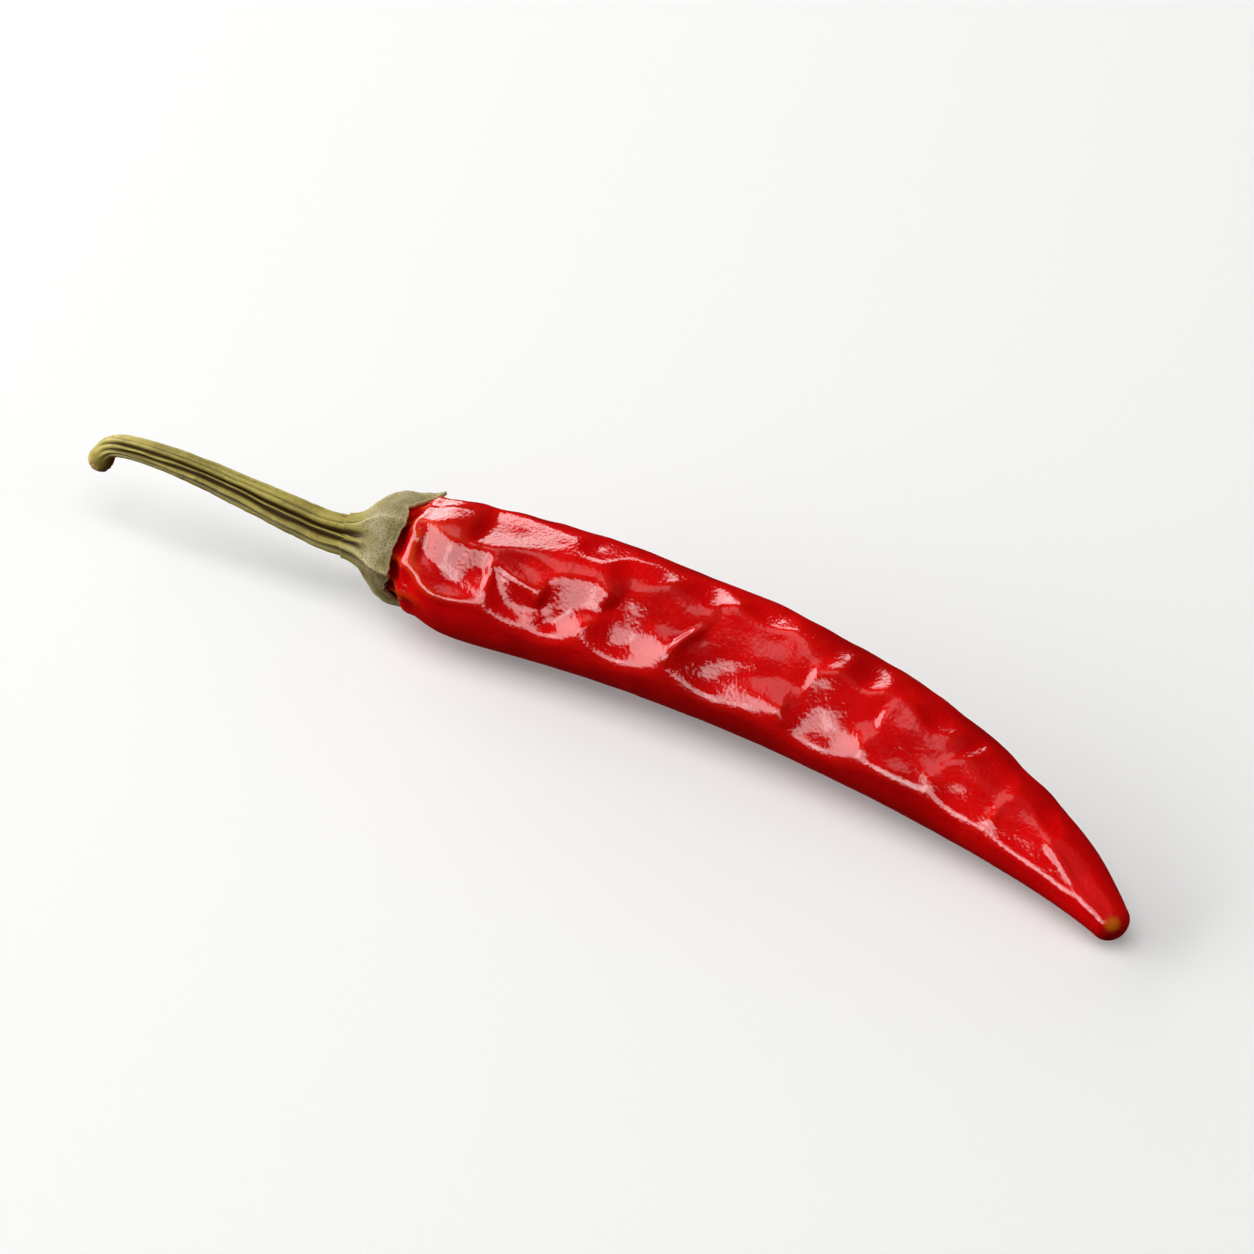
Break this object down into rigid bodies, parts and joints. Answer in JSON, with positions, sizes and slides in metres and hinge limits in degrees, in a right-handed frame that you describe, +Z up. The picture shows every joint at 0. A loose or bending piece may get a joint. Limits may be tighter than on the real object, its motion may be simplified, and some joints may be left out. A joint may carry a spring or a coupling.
{
  "type": "dried red chilli pepper",
  "caption": "Dried red chilli pepper lying on its belly: a curved, wrinkled, glossy pod, a toothed calyx and a ribbed, hooked stalk.",
  "frame": {"origin": "middle of the footprint, on the surface that the pepper lies on", "axes": "+X along the pepper towards the pod's tip, +Y to the outside of its bend, +Z up"},
  "size_m": [0.0894, 0.013, 0.0102],
  "materials": {
    "pod_skin": "gloss",
    "calyx_green": "matte",
    "stalk_green": "satin"
  },
  "bodies": {
    "root": {"pod": "pod_skin", "calyx": "calyx_green", "stalk": "stalk_green"}
  },
  "joints": []
}
